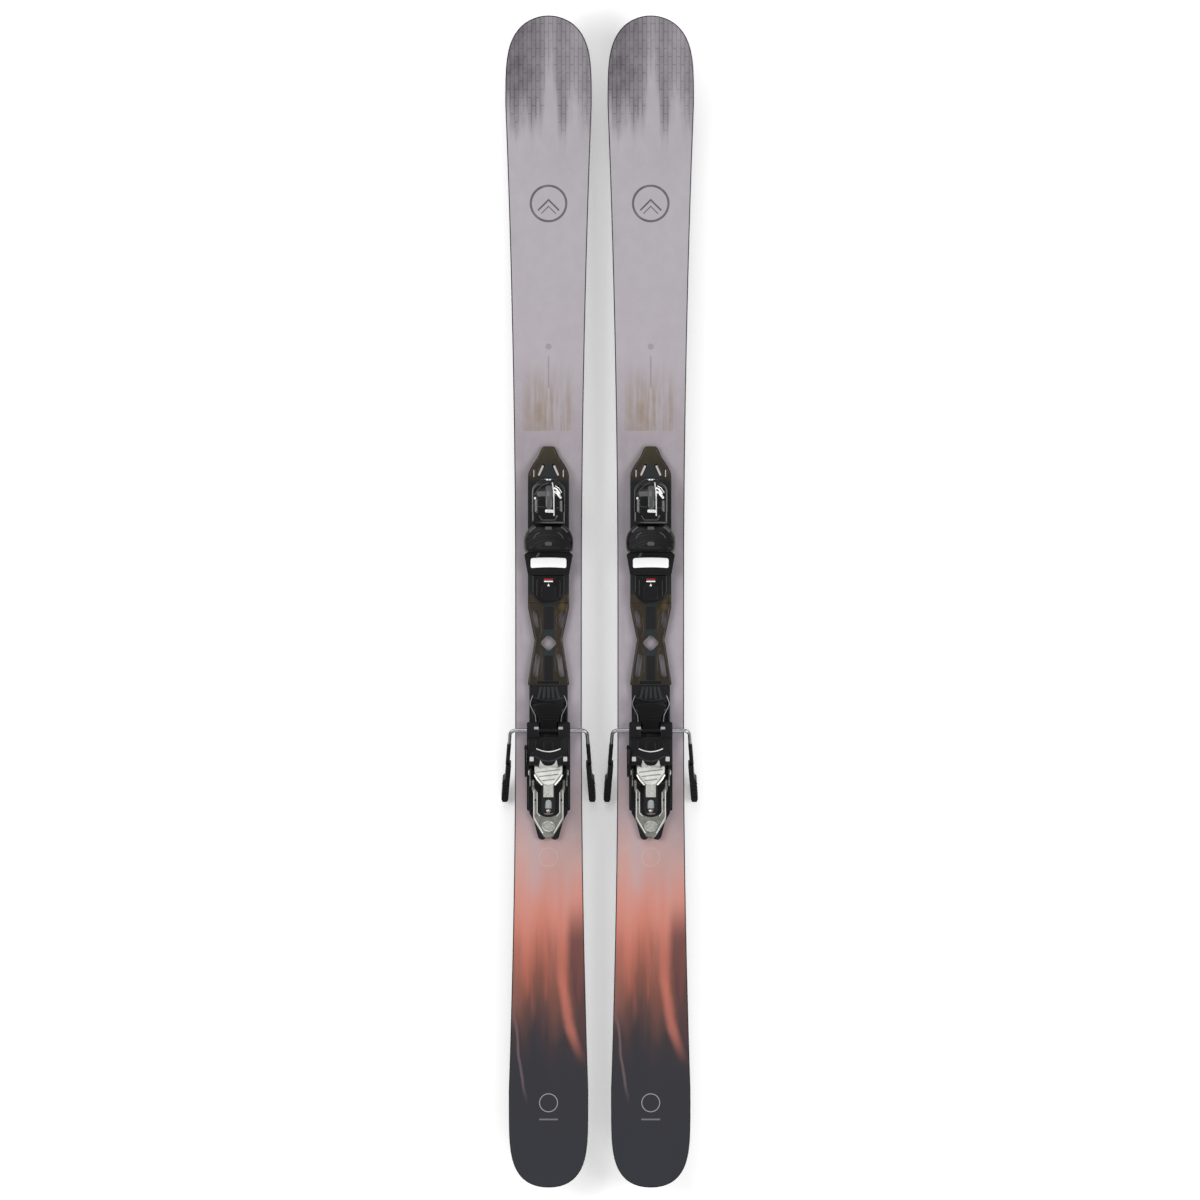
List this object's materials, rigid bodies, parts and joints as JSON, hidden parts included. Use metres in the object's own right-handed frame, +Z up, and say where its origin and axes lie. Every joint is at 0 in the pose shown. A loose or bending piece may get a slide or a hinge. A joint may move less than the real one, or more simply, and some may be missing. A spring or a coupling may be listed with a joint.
{
  "type": "pair of alpine skis with bindings",
  "caption": "Pair of shaped alpine skis lying side by side, each with a plate binding: toe piece with swinging jaw, sliding heel piece with lever, and a sprung ski brake.",
  "frame": {"origin": "on the floor under the deployed brake feet, midway between the two skis and midway along their length", "axes": "+Y along the skis toward the tips, +X toward the right-hand ski, +Z up from the floor"},
  "size_m": [0.272, 1.62, 0.1528],
  "materials": {
    "base_black": "waxed sintered plastic",
    "edge_steel": "ground steel",
    "core_wood": "laminated strips",
    "sidewall_black": "machined plastic",
    "topsheet_print": "satin printed film",
    "screw_steel": "zinc plated",
    "plate_olive": "smoky olive, slightly see-through",
    "plate_black": "fine grained",
    "gloss_black": "polished",
    "dark_grey": "fine grained",
    "white_slider": "smooth low-friction",
    "silver_trim": "satin silver",
    "spring_steel": "oiled",
    "grey_barrel": "smooth",
    "silver_screw": "plated",
    "silver_lever": "satin grey-silver",
    "foot_black": "moulded",
    "tread_black": "ribbed"
  },
  "bodies": {
    "left_ski_body": {"left_base": "base_black", "left_edges": "edge_steel", "left_core": "core_wood", "left_sidewalls": "sidewall_black", "left_topsheet": "topsheet_print", "left_screws": "screw_steel", "left_toe_track": "plate_olive", "left_bridge": "plate_olive", "left_heel_track": "plate_black", "left_toe_cover": "gloss_black", "left_toe_housing": "gloss_black", "left_toe_pin": "screw_steel", "left_toe_spring": "spring_steel", "left_sole_collar": "dark_grey"},
    "left_jaw_body": {"left_toe_jaw": "dark_grey"},
    "left_pad_body": {"left_sole_pad": "white_slider"},
    "left_toe_screw_body": {"left_toe_screw": "screw_steel"},
    "left_carriage_body": {"left_heel_carriage": "plate_black", "left_heel_pin": "screw_steel"},
    "left_adjust_body": {"left_adjust_lever": "gloss_black"},
    "left_rocker_body": {"left_heel_housing": "dark_grey", "left_heel_plate": "silver_trim", "left_heel_cup": "dark_grey", "left_heel_spring": "spring_steel"},
    "left_lever_body": {"left_heel_lever": "silver_lever"},
    "left_heel_screw_body": {"left_heel_screw": "silver_screw"},
    "left_indicator_body": {"left_heel_indicator": "grey_barrel"},
    "left_brake_body": {"left_brake_arms": "edge_steel", "left_brake_feet": "foot_black", "left_brake_pedal": "tread_black"},
    "right_ski_body": {"right_base": "base_black", "right_edges": "edge_steel", "right_core": "core_wood", "right_sidewalls": "sidewall_black", "right_topsheet": "topsheet_print", "right_screws": "screw_steel", "right_toe_track": "plate_olive", "right_bridge": "plate_olive", "right_heel_track": "plate_black", "right_toe_cover": "gloss_black", "right_toe_housing": "gloss_black", "right_toe_pin": "screw_steel", "right_toe_spring": "spring_steel", "right_sole_collar": "dark_grey"},
    "right_jaw_body": {"right_toe_jaw": "dark_grey"},
    "right_pad_body": {"right_sole_pad": "white_slider"},
    "right_toe_screw_body": {"right_toe_screw": "screw_steel"},
    "right_carriage_body": {"right_heel_carriage": "plate_black", "right_heel_pin": "screw_steel"},
    "right_adjust_body": {"right_adjust_lever": "gloss_black"},
    "right_rocker_body": {"right_heel_housing": "dark_grey", "right_heel_plate": "silver_trim", "right_heel_cup": "dark_grey", "right_heel_spring": "spring_steel"},
    "right_lever_body": {"right_heel_lever": "silver_lever"},
    "right_heel_screw_body": {"right_heel_screw": "silver_screw"},
    "right_indicator_body": {"right_heel_indicator": "grey_barrel"},
    "right_brake_body": {"right_brake_arms": "edge_steel", "right_brake_feet": "foot_black", "right_brake_pedal": "tread_black"}
  },
  "joints": [
    {"name": "left_toe_jaw_swing", "type": "hinge", "parent": "left_ski_body", "child": "left_jaw_body", "pos_m": [-0.0707, 0.13, 0.09003], "axis": [0, 0, 1], "range_deg": [-25, 25], "stiffness_Nm_per_rad": 3},
    {"name": "left_sole_pad_slide", "type": "slide", "parent": "left_ski_body", "child": "left_pad_body", "axis": [1, 0, 0], "range_m": [-0.005, 0.005], "stiffness_N_per_m": 100},
    {"name": "left_toe_screw_turn", "type": "hinge", "parent": "left_ski_body", "child": "left_toe_screw_body", "pos_m": [-0.0707, 0.165, 0.09003], "axis": [0, 1, 0], "range_deg": [-360, 360]},
    {"name": "left_heel_carriage_slide", "type": "slide", "parent": "left_ski_body", "child": "left_carriage_body", "axis": [0, 1, 0], "range_m": [-0.012, 0.012]},
    {"name": "left_adjust_lever_lift", "type": "hinge", "parent": "left_carriage_body", "child": "left_adjust_body", "pos_m": [-0.1024, -0.202, 0.07463], "axis": [-1, 0, 0], "range_deg": [0, 40]},
    {"name": "left_heel_open", "type": "hinge", "parent": "left_carriage_body", "child": "left_rocker_body", "pos_m": [-0.0707, -0.236, 0.08303], "axis": [1, 0, 0], "range_deg": [0, 26]},
    {"name": "left_heel_lever_press", "type": "hinge", "parent": "left_rocker_body", "child": "left_lever_body", "pos_m": [-0.0707, -0.25, 0.09803], "axis": [1, 0, 0], "range_deg": [0, 8]},
    {"name": "left_heel_screw_turn", "type": "hinge", "parent": "left_rocker_body", "child": "left_heel_screw_body", "pos_m": [-0.0707, -0.292, 0.11603], "axis": [0, 0.9455, -0.3256], "range_deg": [-360, 360]},
    {"name": "left_indicator_travel", "type": "slide", "parent": "left_rocker_body", "child": "left_indicator_body", "axis": [0, 0.9455, -0.3256], "range_m": [-0.0015, 0.0015]},
    {"name": "left_brake_swing", "type": "hinge", "parent": "left_carriage_body", "child": "left_brake_body", "pos_m": [-0.0707, -0.1778, 0.07543], "axis": [-1, 0, 0], "range_deg": [0, 36], "stiffness_Nm_per_rad": 3, "springref_deg": -68.75},
    {"name": "right_toe_jaw_swing", "type": "hinge", "parent": "right_ski_body", "child": "right_jaw_body", "pos_m": [0.0707, 0.13, 0.09003], "axis": [0, 0, 1], "range_deg": [-25, 25], "stiffness_Nm_per_rad": 3},
    {"name": "right_sole_pad_slide", "type": "slide", "parent": "right_ski_body", "child": "right_pad_body", "axis": [1, 0, 0], "range_m": [-0.005, 0.005], "stiffness_N_per_m": 100},
    {"name": "right_toe_screw_turn", "type": "hinge", "parent": "right_ski_body", "child": "right_toe_screw_body", "pos_m": [0.0707, 0.165, 0.09003], "axis": [0, 1, 0], "range_deg": [-360, 360]},
    {"name": "right_heel_carriage_slide", "type": "slide", "parent": "right_ski_body", "child": "right_carriage_body", "axis": [0, 1, 0], "range_m": [-0.012, 0.012]},
    {"name": "right_adjust_lever_lift", "type": "hinge", "parent": "right_carriage_body", "child": "right_adjust_body", "pos_m": [0.039, -0.202, 0.07463], "axis": [-1, 0, 0], "range_deg": [0, 40]},
    {"name": "right_heel_open", "type": "hinge", "parent": "right_carriage_body", "child": "right_rocker_body", "pos_m": [0.0707, -0.236, 0.08303], "axis": [1, 0, 0], "range_deg": [0, 26]},
    {"name": "right_heel_lever_press", "type": "hinge", "parent": "right_rocker_body", "child": "right_lever_body", "pos_m": [0.0707, -0.25, 0.09803], "axis": [1, 0, 0], "range_deg": [0, 8]},
    {"name": "right_heel_screw_turn", "type": "hinge", "parent": "right_rocker_body", "child": "right_heel_screw_body", "pos_m": [0.0707, -0.292, 0.11603], "axis": [0, 0.9455, -0.3256], "range_deg": [-360, 360]},
    {"name": "right_indicator_travel", "type": "slide", "parent": "right_rocker_body", "child": "right_indicator_body", "axis": [0, 0.9455, -0.3256], "range_m": [-0.0015, 0.0015]},
    {"name": "right_brake_swing", "type": "hinge", "parent": "right_carriage_body", "child": "right_brake_body", "pos_m": [0.0707, -0.1778, 0.07543], "axis": [-1, 0, 0], "range_deg": [0, 36], "stiffness_Nm_per_rad": 3, "springref_deg": -68.75},
    {"name": "ski_spacing_slide", "type": "slide", "parent": "left_ski_body", "child": "right_ski_body", "axis": [1, 0, 0], "range_m": [0, 0.1]}
  ],
  "couplings": [
    {"joint": "left_heel_lever_press", "follows": "left_heel_open", "ratio": 0.3},
    {"joint": "left_heel_screw_turn", "follows": "left_indicator_travel", "rad_per_m": 4188.8},
    {"joint": "right_heel_lever_press", "follows": "right_heel_open", "ratio": 0.3},
    {"joint": "right_heel_screw_turn", "follows": "right_indicator_travel", "rad_per_m": 4188.8}
  ]
}
